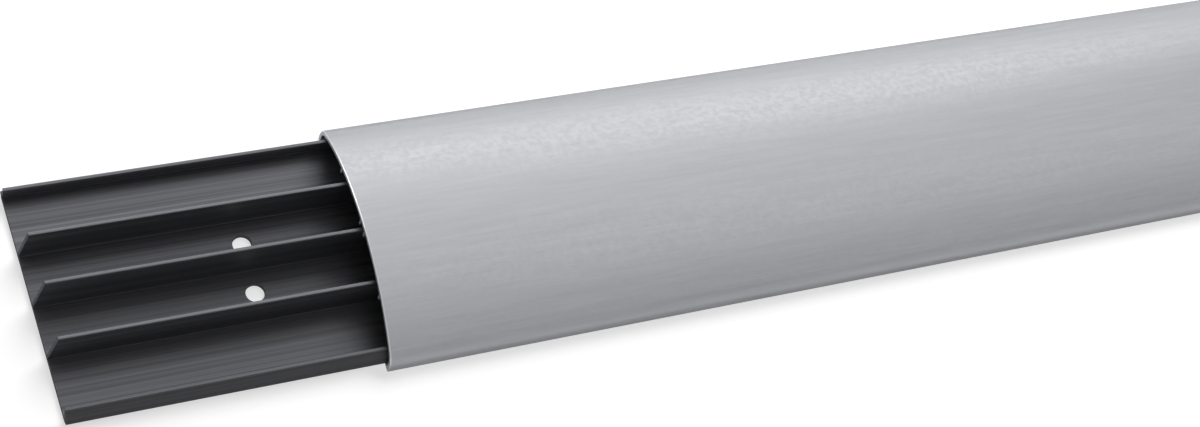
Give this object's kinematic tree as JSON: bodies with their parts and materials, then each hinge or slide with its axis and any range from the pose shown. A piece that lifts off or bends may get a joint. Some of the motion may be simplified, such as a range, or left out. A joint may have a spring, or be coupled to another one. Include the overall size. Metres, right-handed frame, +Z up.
{
  "type": "floor cable duct",
  "caption": "Low arched floor cable duct: a satin aluminium cover clipped over a dark base profile with cable channels and screw holes.",
  "frame": {"origin": "centre of the footprint, on the floor", "axes": "+X along the run, from the bare end of the base towards the covered end; +Y across the run; +Z up"},
  "size_m": [0.5, 0.075, 0.018],
  "materials": {
    "base_pvc": "extruded rigid PVC, anthracite, faint sheen",
    "cover_aluminium": "satin natural anodised"
  },
  "bodies": {
    "root": {"base_profile": "base_pvc", "cover_profile": "cover_aluminium"}
  },
  "joints": []
}
